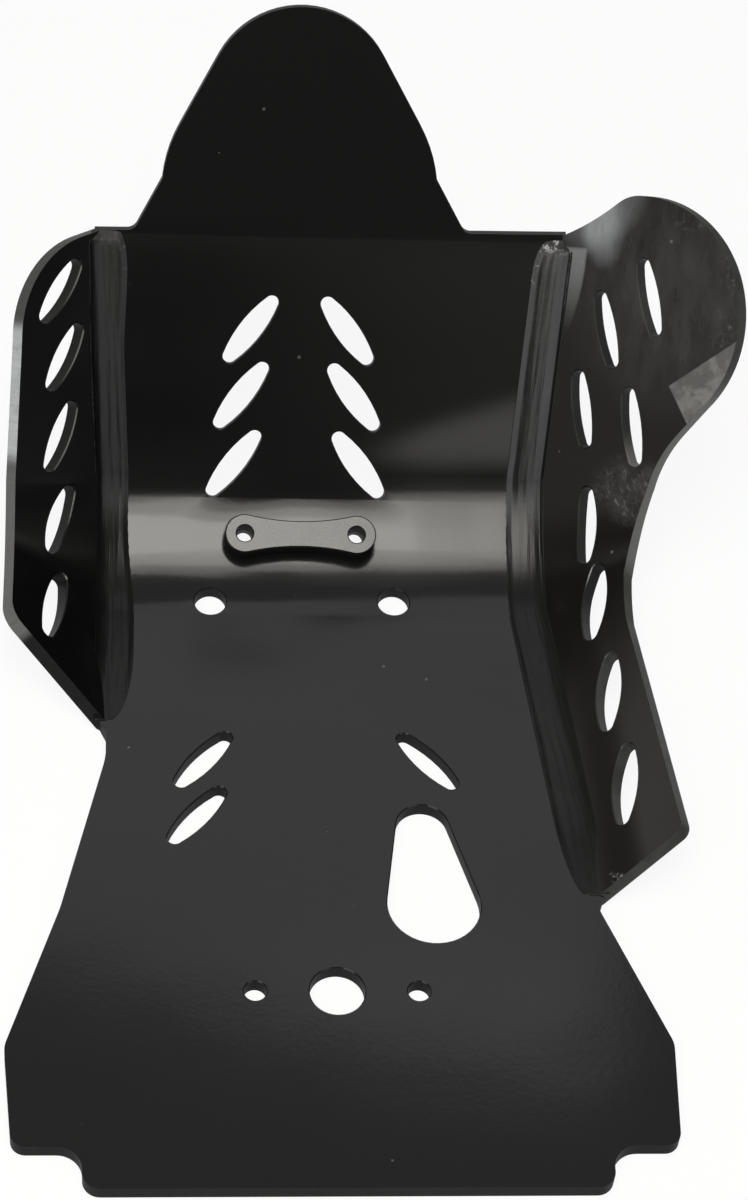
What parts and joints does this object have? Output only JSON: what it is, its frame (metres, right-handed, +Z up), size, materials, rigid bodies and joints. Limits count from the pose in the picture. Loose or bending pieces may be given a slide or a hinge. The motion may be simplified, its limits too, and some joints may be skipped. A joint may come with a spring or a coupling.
{
  "type": "motorcycle skid plate",
  "caption": "Heat-bent black plastic engine guard with a nose tongue, flared side wings welded on with extruded beads, lens-shaped vent slots, drain cut-outs and a clamp spacer in the bend.",
  "frame": {"origin": "midway between the two rear bolt holes, on the underside of the belly", "axes": "+X to the rider's right, +Y forward to the nose, +Z up towards the engine"},
  "size_m": [0.3121, 0.4631, 0.2023],
  "materials": {
    "sheet": "satin, lightly scuffed",
    "weld": "satin, drawn in ridges",
    "spacer": "satin, machined"
  },
  "bodies": {
    "root": {"centre_plate": "sheet", "left_wing": "sheet", "right_wing": "sheet", "left_weld_bead": "weld", "right_weld_bead": "weld", "clamp_spacer": "spacer"}
  },
  "joints": []
}
